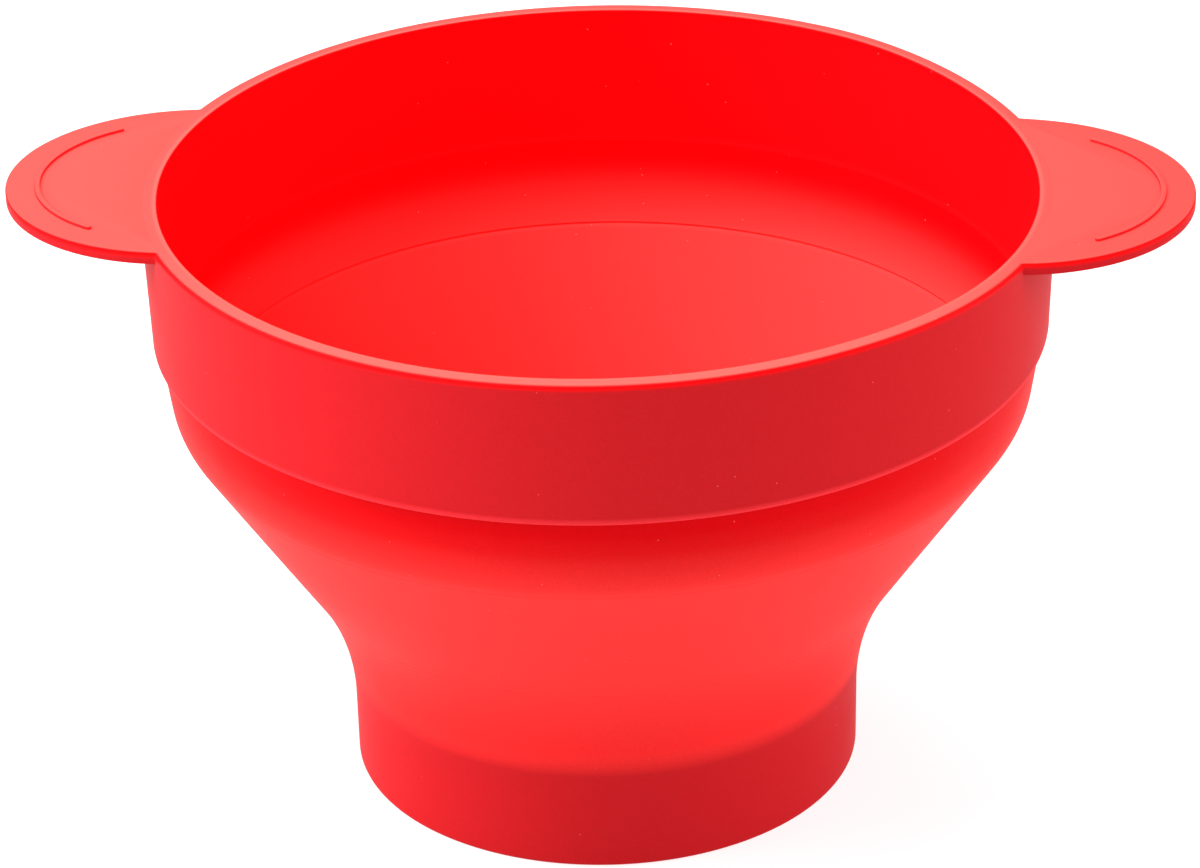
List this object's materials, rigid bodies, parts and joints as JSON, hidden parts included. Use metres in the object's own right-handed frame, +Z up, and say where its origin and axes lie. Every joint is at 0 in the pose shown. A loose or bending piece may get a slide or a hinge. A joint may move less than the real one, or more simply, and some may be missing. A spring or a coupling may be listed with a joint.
{
  "type": "collapsible popcorn bowl",
  "caption": "Round flexible popcorn bowl with a flared wall that folds down flat, an upright rim band and a tab handle on each side.",
  "frame": {"origin": "centre of the flat underside that the bowl stands on", "axes": "+Z up out of the bowl's mouth, +X through the two handles, +Y to the back"},
  "size_m": [0.26, 0.2, 0.1412],
  "materials": {
    "silicone": "satin red moulded silicone with a soft translucent edge",
    "thin_silicone": "satin red silicone, thinner and a little more translucent"
  },
  "bodies": {
    "base": {"base_floor": "silicone", "base_cup": "silicone", "neck_wall": "thin_silicone"},
    "web": {"folding_web": "thin_silicone"},
    "rim": {"shoulder_wall": "thin_silicone", "rim_band": "silicone", "left_handle": "silicone", "right_handle": "silicone", "left_grip_line": "silicone", "right_grip_line": "silicone"}
  },
  "joints": [
    {"name": "bowl_fold", "type": "slide", "parent": "base", "child": "rim", "axis": [0, 0, -1], "range_m": [0, 0.08]},
    {"name": "web_fold", "type": "slide", "parent": "base", "child": "web", "axis": [0, 0, -1], "range_m": [0, 0.04], "deforming": ["folding_web"]}
  ],
  "couplings": [
    {"joint": "web_fold", "follows": "bowl_fold", "ratio": 0.5}
  ]
}
